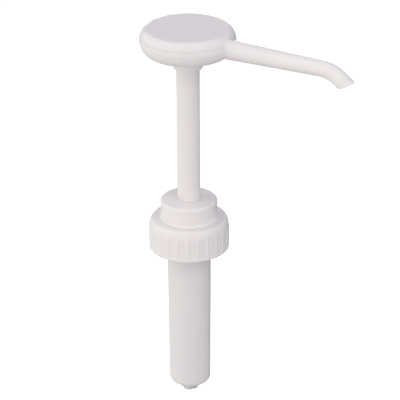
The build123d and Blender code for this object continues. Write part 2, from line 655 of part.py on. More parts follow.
with BuildPart() as head_base:
    with BuildSketch(Plane.XZ):
        with BuildLine():
            lower_edge = EllipticalCenterArc(
                (HEAD_BOTTOM_R, HEAD_WIDEST_Z),
                HEAD_R - HEAD_BOTTOM_R,
                HEAD_WIDEST_Z - HEAD_BOTTOM_Z,
                start_angle=-90,
                arc_size=90 + belt_angle,
            )
            lower_belt = EllipticalCenterArc(
                (HEAD_BOTTOM_R, HEAD_WIDEST_Z),
                HEAD_R + BELT_PROUD - HEAD_BOTTOM_R,
                HEAD_WIDEST_Z - HEAD_BOTTOM_Z,
                start_angle=belt_angle,
                arc_size=-belt_angle,
            )
            upper_belt = EllipticalCenterArc(
                (HEAD_TOP_R, HEAD_WIDEST_Z),
                HEAD_R + BELT_PROUD - HEAD_TOP_R,
                HEAD_TOP_Z - HEAD_WIDEST_Z,
                start_angle=0,
                arc_size=seam_angle,
            )
            inner_edge = EllipticalCenterArc(
                (HEAD_BOTTOM_R, HEAD_WIDEST_Z),
                HEAD_IN_R - HEAD_BOTTOM_R,
                HEAD_WIDEST_Z - HEAD_BOTTOM_Z - HEAD_WALL,
                start_angle=0,
                arc_size=-90,
            )
            Line(lower_edge @ 1, lower_belt @ 0)
            Polyline(upper_belt @ 1, (HEAD_IN_R, SEAM_Z), inner_edge @ 0)
            Polyline(
                inner_edge @ 1,
                (HUB_R, HEAD_BOTTOM_Z + HEAD_WALL),
                (HUB_R, BOSS_TOP_Z),
                (0, BOSS_TOP_Z),
                (0, CHAMBER_TOP_Z),
                (STEM_BORE_R, CHAMBER_TOP_Z),
                (STEM_BORE_R, STEM_TOP_Z + PUSHED),
                (STEM_R + PUSHED, STEM_TOP_Z + PUSHED),
                (STEM_R + PUSHED, HUB_BOTTOM_Z),
                (HUB_R, HUB_BOTTOM_Z),
                (HUB_R, HEAD_BOTTOM_Z),
                lower_edge @ 0,
            )
        make_face()
    revolve(axis=Axis.Z)
    belt_r = HEAD_TOP_R + (HEAD_R + BELT_PROUD - HEAD_TOP_R) * cos(radians(seam_angle))
    chamfer(circles(head_base, belt_r, SEAM_Z), SEAM_EDGE)
    with BuildSketch(Plane.XY.offset(HEAD_BOTTOM_Z + HEAD_WALL / 2)):
        with PolarLocations(
            (HUB_R + HEAD_BOTTOM_R) / 2,
            HEAD_RIB_COUNT,
            start_angle=HEAD_RIB_START,
            angular_range=HEAD_RIB_RANGE,
        ):
            Rectangle(HEAD_BOTTOM_R - HUB_R + BEYOND, HEAD_RIB_T)
    extrude(amount=SEAM_Z - HEAD_BOTTOM_Z - HEAD_WALL)
    with BuildSketch(Plane.YZ):
        with Locations((0, SPOUT_Z)):
            Circle(PORT_R)
    extrude(amount=SPOUT_ROOT_X - PUSHED)
    with BuildSketch(Plane.XY.offset(STEM_TOP_Z + PUSHED)):
        Circle(STEM_BORE_R)
    extrude(amount=CHAMBER_TOP_Z - STEM_TOP_Z - PUSHED, mode=Mode.SUBTRACT)
    with BuildSketch(Plane.YZ):
        with Locations((0, SPOUT_Z)):
            Circle(SPOUT_BORE_R)
    extrude(amount=SPOUT_ROOT_X, mode=Mode.SUBTRACT)
    with BuildSketch(Plane.YZ.offset(SPIGOT_START_X - PUSHED)):
        with Locations((0, SPOUT_Z)):
            Circle(SPIGOT_R + TURNING)
    extrude(amount=SPOUT_ROOT_X, mode=Mode.SUBTRACT)
    revolve(
        spout_section(SPOUT_ROOT_X - PUSHED, HEAD_R + BEYOND, TURNING),
        axis=SPOUT_AXIS,
        mode=Mode.SUBTRACT,
    )
    fillet(circles(head_base, HUB_R, HUB_BOTTOM_Z), HUB_EDGE)
save(head_base, "head_base")

# ---- Head cover: shallow dome with an inner ring that pushes into the base ----
with BuildPart() as head_cover:
    with BuildSketch(Plane.XZ):
        with BuildLine():
            dome_edge = EllipticalCenterArc(
                (HEAD_TOP_R, HEAD_WIDEST_Z),
                HEAD_R - HEAD_TOP_R,
                HEAD_TOP_Z - HEAD_WIDEST_Z,
                start_angle=seam_angle,
                arc_size=90 - seam_angle,
            )
            Polyline(
                dome_edge @ 1,
                (0, HEAD_TOP_Z),
                (0, HEAD_TOP_Z - HEAD_WALL),
                (COVER_FLAT_R, HEAD_TOP_Z - HEAD_WALL),
                (HEAD_IN_R - COVER_RING_T, SEAM_Z + COVER_HAUNCH_H),
                (HEAD_IN_R - COVER_RING_T, SEAM_Z - COVER_RING_H),
                (HEAD_IN_R - PUSHED, SEAM_Z - COVER_RING_H),
                (HEAD_IN_R - PUSHED, SEAM_Z + PUSHED),
                dome_edge @ 0,
            )
        make_face()
    revolve(axis=Axis.Z)
    chamfer(circles(head_cover, (dome_edge @ 0).X, SEAM_Z), SEAM_EDGE)
    revolve(
        spout_section(SPOUT_ROOT_X - PUSHED, HEAD_R + BEYOND, TURNING),
        axis=SPOUT_AXIS,
        mode=Mode.SUBTRACT,
    )
save(head_cover, "head_cover")
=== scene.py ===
import json
from math import cos, pi, radians, sin, tan

import bmesh
import bpy
from mathutils import Matrix, Vector


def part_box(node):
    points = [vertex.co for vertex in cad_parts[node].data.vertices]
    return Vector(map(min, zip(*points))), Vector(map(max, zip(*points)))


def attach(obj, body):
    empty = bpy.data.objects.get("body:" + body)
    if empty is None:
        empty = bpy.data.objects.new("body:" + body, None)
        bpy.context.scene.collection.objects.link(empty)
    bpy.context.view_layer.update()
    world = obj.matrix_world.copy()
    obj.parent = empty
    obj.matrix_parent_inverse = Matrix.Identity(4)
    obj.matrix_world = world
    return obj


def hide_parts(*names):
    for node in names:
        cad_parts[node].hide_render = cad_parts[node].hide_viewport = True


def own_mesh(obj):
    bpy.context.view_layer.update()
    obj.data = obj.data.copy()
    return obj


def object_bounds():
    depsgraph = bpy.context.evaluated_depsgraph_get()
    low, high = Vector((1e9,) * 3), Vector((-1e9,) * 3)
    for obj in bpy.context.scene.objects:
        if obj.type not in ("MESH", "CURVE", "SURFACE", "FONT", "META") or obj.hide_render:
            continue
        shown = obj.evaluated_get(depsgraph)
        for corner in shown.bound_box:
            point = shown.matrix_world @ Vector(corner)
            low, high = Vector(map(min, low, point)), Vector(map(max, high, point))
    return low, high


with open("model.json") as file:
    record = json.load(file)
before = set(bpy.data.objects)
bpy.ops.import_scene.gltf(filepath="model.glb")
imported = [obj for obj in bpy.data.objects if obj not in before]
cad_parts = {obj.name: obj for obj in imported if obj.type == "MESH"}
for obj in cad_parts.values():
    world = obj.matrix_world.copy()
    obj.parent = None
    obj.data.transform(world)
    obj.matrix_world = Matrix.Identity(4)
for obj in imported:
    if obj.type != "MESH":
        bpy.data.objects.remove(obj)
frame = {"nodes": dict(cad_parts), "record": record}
CAD_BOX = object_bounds()

# A white plastic condiment pump: a round press head with a bent spout, on a slim stem that slides
# through a collar and a ribbed screw closure into the pump cylinder.  Z is the pump's axis and
# the spout points along +X.  Outlines are in millimetres, taken from the boxes of the CAD nodes
# that the pieces stand for, with the small roundings and details that mouldings have.
MM = 0.001
FULL_TURN = 2 * pi


# ------------------------------------------------------------------ camera, light and floor
CAMERA_AZIMUTH, CAMERA_ELEVATION, CAMERA_ROLL = 30.25, 25.82, -0.27
CAMERA_DISTANCE = 1.076
LENS = 175.7
AIM_RIGHT, AIM_DOWN = 0.00613, 0.00131  # from the collar's top to the middle of the picture
FLOOR_DROP = 0.8  # from the pump's foot to the floor: the pump is shown hanging clear of it
STAGE_RADIUS = 6.0
STAGE_GLOW, STAGE_WHITE = 0.94, 0.2
CLIP_START = 0.05
SKY = (  # azimuth from the camera's, elevation, and the light that comes from there
    (0, 0, (0.67, 0.625, 0.685)),
    (-90, 0, (1.40, 1.385, 1.29)),
    (90, 0, (0.265, 0.285, 0.395)),
    (0, 90, (0.90, 0.905, 1.05)),
    (0, -90, (0.33, 0.35, 0.365)),
)
LAMPS = (  # name, azimuth from the camera's, elevation, watts and colour
    ("key", 40, 8, 7.1, (0.99, 1.0, 0.83)),
    ("fill", 40, 45, 3.9, (1.0, 0.93, 0.5)),
    ("back", 180, -3, 11.0, (1.0, 0.97, 0.93)),
)
LAMP_DISTANCE, LAMP_SIZE = 2.0, 0.7


def towards(azimuth, elevation):
    """Unit vector from the pump to a place at this azimuth, 0 being -Y, and elevation."""
    a, e = radians(azimuth), radians(elevation)
    return Vector((sin(a) * cos(e), -cos(a) * cos(e), sin(e)))


def add_camera():
    target = Vector((0, 0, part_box("collar")[1].z))
    back = towards(CAMERA_AZIMUTH, CAMERA_ELEVATION)
    right = towards(CAMERA_AZIMUTH + 90, 0)
    aim = target + AIM_RIGHT * right - AIM_DOWN * back.cross(right)
    data = bpy.data.cameras.new("camera")
    data.lens = LENS
    data.clip_start, data.clip_end = CLIP_START, 3 * STAGE_RADIUS
    camera = bpy.data.objects.new("camera", data)
    camera.location = target + CAMERA_DISTANCE * back
    look = (aim - camera.location).to_track_quat("-Z", "Y").to_matrix()
    camera.rotation_euler = (look @ Matrix.Rotation(radians(CAMERA_ROLL), 3, "Z")).to_euler()
    bpy.context.scene.collection.objects.link(camera)
    bpy.context.scene.camera = camera


def add_lamps():
    for name, azimuth, elevation, watts, color in LAMPS:
        data = bpy.data.lights.new(name, "AREA")
        data.shape, data.size, data.energy, data.color = "DISK", LAMP_SIZE, watts, color
        lamp = bpy.data.objects.new(name, data)
        lamp.location = LAMP_DISTANCE * towards(CAMERA_AZIMUTH + azimuth, elevation)
        lamp.rotation_euler = (-lamp.location).to_track_quat("-Z", "Y").to_euler()
        bpy.context.scene.collection.objects.link(lamp)


def add_sky():
    """Soft light from five sides: each side's light fades with the square of the cosine from it."""
    world = bpy.data.worlds.new("studio")
    bpy.context.scene.world = world
    world.use_nodes = True
    tree = Nodes(world.node_tree)
    place = tree.add("ShaderNodeTexCoord").outputs["Generated"]
    total = (0, 0, 0)
    for azimuth, elevation, color in SKY:
        side = towards(CAMERA_AZIMUTH + azimuth, elevation)
        facing = tree.math("MAXIMUM", tree.vector("DOT_PRODUCT", place, side, output="Value"), 0)
        share = tree.vector("MULTIPLY", tree.math("POWER", facing, 2), color)
        total = tree.vector("ADD", share, total)
    tree.join(total, world.node_tree.nodes["Background"].inputs["Color"])


def add_stage():
    """A pale floor and a round pale backdrop, which the pump neither lights nor shades."""
    white = bpy.data.materials.new("pale_floor")
    white.use_nodes = True
    white.node_tree.nodes.clear()
    tree = Nodes(white.node_tree)
    glow = tree.add("ShaderNodeEmission", Strength=STAGE_GLOW)
    paint = tree.add("ShaderNodeBsdfDiffuse", Color=(*3 * [STAGE_WHITE], 1))
    both = tree.add("ShaderNodeAddShader")
    tree.join(glow.outputs[0], both.inputs[0])
    tree.join(paint.outputs[0], both.inputs[1])
    tree.join(both.outputs[0], tree.add("ShaderNodeOutputMaterial").inputs["Surface"])
    floor, backdrop = bmesh.new(), bmesh.new()
    bmesh.ops.create_circle(floor, cap_ends=True, segments=64, radius=STAGE_RADIUS)
    bmesh.ops.create_icosphere(backdrop, subdivisions=4, radius=STAGE_RADIUS)
    bmesh.ops.reverse_faces(backdrop, faces=backdrop.faces)
    for name, bm in (("floor", floor), ("backdrop", backdrop)):
        piece = mesh_object(name, bm, white)
        piece.visible_diffuse = piece.visible_glossy = piece.visible_shadow = False
    bpy.data.objects["floor"].location.z = CAD_BOX[0].z - FLOOR_DROP


# ------------------------------------------------------------------ node trees
class Nodes:
    """Short ways to add shader nodes to a tree and join them."""

    def __init__(self, tree):
        self.tree = tree

    def join(self, source, socket):
        if isinstance(source, bpy.types.NodeSocket):
            self.tree.links.new(source, socket)
        else:
            socket.default_value = source

    def add(self, kind, **values):
        node = self.tree.nodes.new(kind)
        for name, value in values.items():
            self.join(value, node.inputs[name.replace("_", " ")])
        return node

    def math(self, operation, first, second):
        node = self.add("ShaderNodeMath")
        node.operation = operation
        self.join(first, node.inputs[0])
        self.join(second, node.inputs[1])
        return node.outputs["Value"]

    def vector(self, operation, first, second, output="Vector"):
        node = self.add("ShaderNodeVectorMath")
        node.operation = operation
        self.join(first, node.inputs[0])
        self.join(second, node.inputs[1])
        return node.outputs[output]

    def spread(self, value, low, high, start=0.3, end=0.7):
        """The value from start..end spread over low..high."""
        node = self.add("ShaderNodeMapRange", From_Min=start, From_Max=end, To_Min=low, To_Max=high)
        self.join(value, node.inputs["Value"])
        return node.outputs["Result"]

    def noise(self, scale, detail, stretch=(1, 1, 1)):
        """Noise in the pump's own frame, about one feature per 1/scale metres."""
        place = self.add("ShaderNodeTexCoord").outputs["Object"]
        place = self.vector("MULTIPLY", place, stretch)
        node = self.add("ShaderNodeTexNoise", Vector=place, Scale=scale, Detail=detail)
        return node.outputs["Fac"]

    def blend(self, share, first, second):
        node = self.add("ShaderNodeMix")
        node.data_type = "RGBA"
        self.join(share, node.inputs["Factor"])
        self.join(first, node.inputs["A"])
        self.join(second, node.inputs["B"])
        return node.outputs["Result"]

    def bump(self, height, depth, strength, normal=None):
        node = self.add("ShaderNodeBump", Height=height, Distance=depth, Strength=strength)
        if normal is not None:
            self.join(normal, node.inputs["Normal"])
        return node.outputs["Normal"]


def new_material(name):
    material = bpy.data.materials.new(name)
    material.use_nodes = True
    return material, Nodes(material.node_tree), material.node_tree.nodes["Principled BSDF"]


# ------------------------------------------------------------------ materials
# Sizes of the noises are in features to the metre, and bumps are in metres.
CLOUDS, FLOW, GRAIN, RUBS = 26, 160, 1500, 900
FOAM_CELLS, FOAM_CLOUDS = 2600, 120
STEEL_LINES, STEEL_CLOUDS = 1200, 90
ALONG_MOULD, ALONG_RUBS, ALONG_WIRE = (1, 1, 0.25), (1, 1, 0.06), (1, 1, 12)
PEEL_DEPTH, PEEL_STRENGTH = 0.00003, 0.3
FLOW_DEPTH, FLOW_STRENGTH = 0.0001, 0.12
PLASTIC_IOR, PLASTIC_GLOSS = 1.49, 0.4
SOAK_BY_COLOR = (1.0, 0.85, 0.8)
PLASTICS = (  # slot, light and dark tone, roughness, how deep light soaks in and how much of it
    ("moulded_white", (0.87, 0.835, 0.825), (0.825, 0.795, 0.79), 0.42, 0.0012, 0.35),
    ("cylinder_white", (0.815, 0.785, 0.78), (0.77, 0.745, 0.745), 0.44, 0.0014, 0.35),
    ("natural_plastic", (0.87, 0.835, 0.825), (0.825, 0.795, 0.79), 0.38, 0.001, 0.25),
    ("foot_plastic", (0.70, 0.69, 0.69), (0.60, 0.60, 0.61), 0.5, 0.001, 0.2),
    ("acetal", (0.86, 0.85, 0.82), (0.81, 0.80, 0.77), 0.36, 0.0008, 0.25),
    ("seal_rubber", (0.78, 0.78, 0.76), (0.68, 0.69, 0.68), 0.5, 0.003, 0.5),
)
FOAM_DEPTH, FOAM_STRENGTH = 0.0002, 0.6
# FOAM_DARK is both the painted shade in the cell pits and the dark of the random clouds.
FOAM_LIGHT, FOAM_DARK = (0.86, 0.86, 0.84), (0.66, 0.66, 0.64)
STEELS = (  # slot, roughness, which way its lines run and how deep they are
    ("spring_steel", 0.26, ALONG_WIRE, 0.00002),
    ("ball_steel", 0.07, (1, 1, 1), 0.000002),
)
STEEL_LIGHT, STEEL_DARK, STEEL_STRENGTH = (0.66, 0.65, 0.63), (0.52, 0.52, 0.52), 0.3


def plastic(name, light, dark, roughness, depth, soak):
    """Moulded plastic: cloudy tone drawn out along the mould, orange peel, fine rub marks and an
    uneven sheen."""
    material, tree, shader = new_material(name)
    flow = tree.noise(FLOW, 4, ALONG_MOULD)
    clouds = tree.spread(tree.noise(CLOUDS, 3, ALONG_MOULD), 0, 0.7)
    tone = tree.math("ADD", clouds, tree.spread(flow, 0, 0.3))
    tree.join(tree.blend(tone, (*dark, 1), (*light, 1)), shader.inputs["Base Color"])
    rubs = tree.spread(tree.noise(RUBS, 3, ALONG_RUBS), -0.04, 0.06)
    sheen = tree.math("ADD", tree.spread(flow, -0.05, 0.05), rubs)
    tree.join(tree.math("ADD", sheen, roughness), shader.inputs["Roughness"])
    peel = tree.bump(tree.noise(GRAIN, 2), PEEL_DEPTH, PEEL_STRENGTH)
    tree.join(tree.bump(flow, FLOW_DEPTH, FLOW_STRENGTH, peel), shader.inputs["Normal"])
    shader.inputs["IOR"].default_value = PLASTIC_IOR
    shader.inputs["Specular IOR Level"].default_value = PLASTIC_GLOSS
    shader.inputs["Subsurface Weight"].default_value = soak
    shader.inputs["Subsurface Radius"].default_value = SOAK_BY_COLOR
    shader.inputs["Subsurface Scale"].default_value = depth
    return material


def foam(name):
    """Closed-cell foam: small round cells whose pits, where the bump dips, are painted darker as
    shade, with paler walls between them.
    """
    material, tree, shader = new_material(name)
    place = tree.add("ShaderNodeTexCoord").outputs["Object"]
    cells = tree.add("ShaderNodeTexVoronoi", Vector=place, Scale=FOAM_CELLS).outputs["Distance"]
    # Painted shade: the tone is darkened in each cell's pit, where the cell bump dips, and left pale
    # on the walls.
    painted_pit_shade = tree.spread(cells, 0, 1, 0.1, 0.6)
    tone = tree.math("MULTIPLY", painted_pit_shade, tree.spread(tree.noise(FOAM_CLOUDS, 3), 0.7, 1))
    tree.join(tree.blend(tone, (*FOAM_DARK, 1), (*FOAM_LIGHT, 1)), shader.inputs["Base Color"])
    tree.join(tree.spread(cells, 0.75, 0.95), shader.inputs["Roughness"])
    tree.join(tree.bump(cells, FOAM_DEPTH, FOAM_STRENGTH), shader.inputs["Normal"])
    return material


def steel(name, roughness, stretch, depth):
    """Stainless steel with the fine lines that drawing or grinding leaves."""
    material, tree, shader = new_material(name)
    shader.inputs["Metallic"].default_value = 1
    lines = tree.noise(STEEL_LINES, 3, stretch)
    color = tree.blend(tree.noise(STEEL_CLOUDS, 2), (*STEEL_DARK, 1), (*STEEL_LIGHT, 1))
    tree.join(color, shader.inputs["Base Color"])
    tree.join(tree.spread(lines, 0.6 * roughness, 1.6 * roughness), shader.inputs["Roughness"])
    tree.join(tree.bump(lines, depth, STEEL_STRENGTH), shader.inputs["Normal"])
    return material


def make_finishes():
    finishes = {slot: plastic(slot, *look) for slot, *look in PLASTICS}
    finishes.update({slot: steel(slot, *look) for slot, *look in STEELS})
    finishes["foam_gasket"] = foam("foam_gasket")
    return finishes


# ------------------------------------------------------------------ shapes
# In the sizes of the pieces, an EDGE is the radius that rounds an outer corner and a ROOT is the
# radius in an inner one.
ARC_STEPS = 5
SAME = 0.01  # points closer than this are taken as one


def mesh_object(name, bm, material):
    mesh = bpy.data.meshes.new(name)
    bm.to_mesh(mesh)
    bm.free()
    mesh.materials.append(material)
    piece = bpy.data.objects.new(name, mesh)
    bpy.context.scene.collection.objects.link(piece)
    return piece


def reach(node):
    """A turned CAD node's outer radius, bottom and top, in millimetres."""
    low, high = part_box(node)
    return high.y / MM, low.z / MM, high.z / MM


def smooth_step(value, start, end):
    share = min(max((value - start) / (end - start), 0.0), 1.0)
    return share * share * (3 - 2 * share)


def rounded(outline, steps=ARC_STEPS):
    """The outline's points (across, along, corner radius), with each corner turned into an arc."""
    points = []
    for i, (x, y, radius) in enumerate(outline):
        corner = Vector((x, y))
        if radius == 0:
            points.append(corner)
            continue
        before = Vector(outline[i - 1][:2]) - corner
        after = Vector(outline[(i + 1) % len(outline)][:2]) - corner
        half = before.angle(after) / 2
        inset = radius / tan(half)
        start, end = corner + inset * before.normalized(), corner + inset * after.normalized()
        middle = (before.normalized() + after.normalized()).normalized()
        centre = corner + radius / sin(half) * middle
        for step in range(steps + 1):
            ray = (start - centre).lerp(end - centre, step / steps)
            points.append(centre + radius * ray.normalized())
    return points


def divided(points, longest):
    """The closed outline with no side longer than this."""
    result = []
    for i, point in enumerate(points):
        after = points[(i + 1) % len(points)]
        count = max(1, int((after - point).length / longest + 0.999))
        result += [point.lerp(after, k / count) for k in range(count)]
    return result


def skin(rows, closed_rows=True):
    """A mesh of quads over closed rows of points, each row as long as the others."""
    bm = bmesh.new()
    grid = [[bm.verts.new(MM * point) for point in row] for row in rows]
    height, width = len(grid), len(grid[0])
    for i in range(height if closed_rows else height - 1):
        for j in range(width):
            low, high = grid[i], grid[(i + 1) % height]
            side = (j + 1) % width
            bm.faces.new((low[j], low[side], high[side], high[j]))
    bmesh.ops.recalc_face_normals(bm, faces=bm.faces)
    for face in bm.faces:
        face.smooth = True
    return bm


def round_angles(count):
    return [FULL_TURN * k / count for k in range(count)]


def turned(points, angles, shift=lambda angle, radius, height: 0.0):
    """A closed outline of (radius, height) points turned about Z.  shift(angle, radius, height)
    moves a point outwards."""
    rows = []
    for radius, height in points:
        out = [radius + shift(angle, radius, height) for angle in angles]
        rows.append([Vector((r * cos(a), r * sin(a), height)) for r, a in zip(out, angles)])
    return skin(rows)


def add_piece(name, bm, body, slot, nodes):
    """A finished piece that rides on a CAD body and stands for CAD nodes."""
    piece = mesh_object(name, bm, FINISH[slot])
    piece.modifiers.new("flat_faces_stay_flat", "WEIGHTED_NORMAL")
    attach(piece, body)
    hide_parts(*nodes)
    return piece


# ------------------------------------------------------------------ screw closure
RIB_COUNT, RIB_PHASE = 24, radians(-2.0)
RIB_PROUD, RIB_HALF_WIDTH = 0.4, 0.95
RIB_FADE = (0.6, 2.3)  # heights between which the ribs run out under the shoulder
RIB_SKIN = 1.2  # how deep into the wall points move with the ribs
BAND_HEIGHT = 1.9
SKIRT_IN_EDGE, SKIRT_OUT_EDGE, BAND_EDGE, BAND_ROOT = 0.5, 0.7, 0.35, 0.12
SHOULDER_FLAT, SHOULDER_HEIGHT = 20.0, 5.0
DECK_HOLE, DECK_THICKNESS, DECK_EDGE, DECK_ROOT = 13.45, 1.5, 0.25, 0.6
THREAD_ROOT, THREAD_DEPTH = 18.95, 1.1
THREAD_START_Z, THREAD_PITCH, THREAD_TURNS = -9.3, 25.4 / 6, 1.5
THREAD_ROOT_HALF, THREAD_CREST_HALF = 1.15, 0.45
THREAD_RUN_OUT = 0.07  # of a turn
CLOSURE_STEP = 0.6  # longest side of a face, up the wall
RIB_STEPS, GAP_STEPS, SHOULDER_STEPS = 5, 6, 14


def rib_share(angle, height, wall_r):
    """1 along a rib's crest and 0 between ribs, with a run-out under the shoulder."""
    pitch = FULL_TURN / RIB_COUNT
    off_rib = ((angle - RIB_PHASE + pitch / 2) % pitch - pitch / 2) * wall_r
    across = cos(min(abs(off_rib) / RIB_HALF_WIDTH, 1.0) * pi / 2) ** 2
    return across * (1 - smooth_step(height, *RIB_FADE))


def thread_height(angle, height):
    """How far the thread stands in from its root, with run-outs at both ends."""
    ridge = 0.0
    for lap in range(2):
        turn = (angle % FULL_TURN) / FULL_TURN + lap
        ends = min(turn, THREAD_TURNS - turn)
        off_crest = abs(height - THREAD_START_Z - THREAD_PITCH * turn)
        flank = 1 - smooth_step(off_crest, THREAD_CREST_HALF, THREAD_ROOT_HALF)
        ridge = max(ridge, THREAD_DEPTH * flank * smooth_step(ends, 0, THREAD_RUN_OUT))
    return ridge


def rib_angles(wall_r):
    """Directions round the closure, close together across each rib and wider between ribs."""
    pitch, half = FULL_TURN / RIB_COUNT, RIB_HALF_WIDTH / wall_r
    steps = [half * k / RIB_STEPS for k in range(-RIB_STEPS, RIB_STEPS + 1)]
    steps += [half + (pitch - 2 * half) * k / GAP_STEPS for k in range(1, GAP_STEPS)]
    return [RIB_PHASE + pitch * rib + step for rib in range(RIB_COUNT) for step in steps]


def make_closure():
    band_r, bottom, top = reach("closure")
    wall_r = band_r - RIB_PROUD

    def shift(angle, radius, height):
        if radius > wall_r - RIB_SKIN:
            room = band_r - radius  # the ribs are as proud as the band, and no prouder
            return min(RIB_PROUD, room) * rib_share(angle, height, wall_r)
        if abs(radius - THREAD_ROOT) < SAME:
            return -thread_height(angle, height)
        return 0.0

    shoulder = []
    for turn in (pi / 2 * k / SHOULDER_STEPS for k in range(SHOULDER_STEPS + 1)):
        radius = SHOULDER_FLAT + (wall_r - SHOULDER_FLAT) * cos(turn)
        shoulder.append((radius, top - SHOULDER_HEIGHT * (1 - sin(turn)), 0))
    outline = [
        (THREAD_ROOT, bottom, SKIRT_IN_EDGE),
        (band_r, bottom, SKIRT_OUT_EDGE),
        (band_r, bottom + BAND_HEIGHT, BAND_EDGE),
        (wall_r, bottom + BAND_HEIGHT, BAND_ROOT),
        *shoulder,
        (DECK_HOLE, top, DECK_EDGE),
        (DECK_HOLE, top - DECK_THICKNESS, DECK_EDGE),
        (THREAD_ROOT, top - DECK_THICKNESS, DECK_ROOT),
    ]
    bm = turned(divided(rounded(outline), CLOSURE_STEP), rib_angles(wall_r), shift)
    add_piece("closure_ribbed", bm, "closure", "natural_plastic", ["closure"])


# ------------------------------------------------------------------ collar
COLLAR_SIDES, COLLAR_STEP = 160, 1.5
COLLAR_HOLE, COLLAR_HOLE_EDGE, COLLAR_TOP_EDGE = 6.33, 0.08, 1.5
CEILING_DROP, LEDGE, LEDGE_DROP, LEDGE_EDGE = 3.1, 0.1, 0.15, 0.1
FOOT_PROUD, FOOT_HEIGHT, FOOT_FLARE, FOOT_ROOT = 0.95, 0.5, 1.7, 0.8
FOOT_TOP_EDGE, FOOT_EDGE = 0.3, 0.05
RIM_SOCKET, RIM_SOCKET_EDGE, RIM_SOCKET_ROOT = 13.4, 0.3, 0.4
WIPER_POCKET, WIPER_POCKET_DROP, WIPER_POCKET_EDGE, WIPER_POCKET_ROOT = 9.0, 1.8, 0.15, 0.2


def make_collar():
    """Cap with a soft top edge, a faint ledge under it and a flared foot."""
    foot_r, bottom, top = reach("collar")
    wall_r, ceiling, pocket = foot_r - FOOT_PROUD, top - CEILING_DROP, top - WIPER_POCKET_DROP
    outline = [
        (COLLAR_HOLE, top, COLLAR_HOLE_EDGE),
        (wall_r, top, COLLAR_TOP_EDGE),
        (wall_r, ceiling, LEDGE_EDGE),
        (wall_r - LEDGE, ceiling - LEDGE_DROP, LEDGE_EDGE),
        (wall_r - LEDGE, bottom + FOOT_FLARE, FOOT_ROOT),
        (foot_r, bottom + FOOT_HEIGHT, FOOT_TOP_EDGE),
        (foot_r, bottom, FOOT_EDGE),
        (RIM_SOCKET, bottom, RIM_SOCKET_EDGE),
        (RIM_SOCKET, ceiling, RIM_SOCKET_ROOT),
        (WIPER_POCKET, ceiling, WIPER_POCKET_EDGE),
        (WIPER_POCKET, pocket, WIPER_POCKET_ROOT),
        (COLLAR_HOLE, pocket, WIPER_POCKET_ROOT),
    ]
    bm = turned(divided(rounded(outline), COLLAR_STEP), round_angles(COLLAR_SIDES))
    add_piece("collar_cap", bm, "housing", "natural_plastic", ["collar"])


# ------------------------------------------------------------------ gasket and seals
GASKET_SIDES, GASKET_STEP = 160, 0.8
GASKET_HOLE, GASKET_EDGE = 12.4, 0.3
SEAL_SIDES, SEAL_STEP = 128, 1.0
SEAL_HOLE, SEAL_SLEEVE, SEAL_HOLE_EDGE, SEAL_SLEEVE_EDGE = 7.92, 8.6, 0.1, 0.15
SEAL_WAIST, SEAL_WAIST_ROOT = 0.85, 0.6
SEAL_LIP, SEAL_LIP_DEPTH, SEAL_LIP_HEIGHT, SEAL_LIP_EDGE = 0.3, 1.4, 2.2, 0.12
WIPER_SIDES = 128
WIPER_LIP_R, WIPER_LEAN, WIPER_BODY, WIPER_BODY_EDGE = 6.31, 0.55, 1.45, 0.15
WIPER_LIP, WIPER_LIP_EDGE, WIPER_TIP_DROP, WIPER_TIP_EDGE = 0.25, 0.05, 0.2, 0.03
WIPER_GROOVE, WIPER_GROOVE_DEPTH, WIPER_GROOVE_EDGE = 1.05, 0.6, 0.1


def make_neck_gasket():
    outer_r, bottom, top = reach("neck_gasket")
    corners = [(GASKET_HOLE, bottom), (outer_r, bottom), (outer_r, top), (GASKET_HOLE, top)]
    outline = [(radius, height, GASKET_EDGE) for radius, height in corners]
    bm = turned(divided(rounded(outline), GASKET_STEP), round_angles(GASKET_SIDES))
    add_piece("foam_ring", bm, "housing", "foam_gasket", ["neck_gasket"])


def make_piston_seal():
    """Ring with two thin lips that press on the cylinder's bore, each the other's mirror image."""
    lip_r, bottom, top = reach("piston_seal")
    upper = [
        (SEAL_HOLE, top, SEAL_HOLE_EDGE),
        (SEAL_SLEEVE, top, SEAL_SLEEVE_EDGE),
        (SEAL_SLEEVE + SEAL_LIP, top - SEAL_LIP_DEPTH, SEAL_LIP_EDGE),
        (lip_r - SEAL_LIP, top, SEAL_LIP_EDGE),
        (lip_r, top - SEAL_LIP, SEAL_LIP_EDGE),
        (lip_r - SEAL_WAIST, top - SEAL_LIP_HEIGHT, SEAL_WAIST_ROOT),
    ]
    lower = [(radius, bottom + top - height, edge) for radius, height, edge in reversed(upper)]
    bm = turned(divided(rounded(upper + lower), SEAL_STEP), round_angles(SEAL_SIDES))
    add_piece("lip_seal", bm, "piston", "seal_rubber", ["piston_seal"])


def make_stem_wiper():
    """Ring in the collar with a thin lip that leans on the stem."""
    outer_r, bottom, top = reach("stem_wiper")
    outline = [
        (outer_r, bottom, WIPER_BODY_EDGE),
        (outer_r, top, WIPER_BODY_EDGE),
        (WIPER_LIP_R + WIPER_BODY, top, WIPER_GROOVE_EDGE),
        (WIPER_LIP_R + WIPER_GROOVE, top - WIPER_GROOVE_DEPTH, WIPER_GROOVE_EDGE),
        (WIPER_LIP_R + WIPER_LIP, top, WIPER_LIP_EDGE),
        (WIPER_LIP_R, top - WIPER_TIP_DROP, WIPER_TIP_EDGE),
        (WIPER_LIP_R + WIPER_LEAN, bottom, WIPER_GROOVE_EDGE),
    ]
    bm = turned(rounded(outline), round_angles(WIPER_SIDES))
    add_piece("wiper_ring", bm, "housing", "seal_rubber", ["stem_wiper"])


# ------------------------------------------------------------------ return spring
SPRING_TURNS, WIRE_R, WIRE_SIDES = 10.5, 0.62, 12
STEPS_PER_TURN = 40
CLOSED_TURNS, EASE_TURNS = 0.9, 0.6


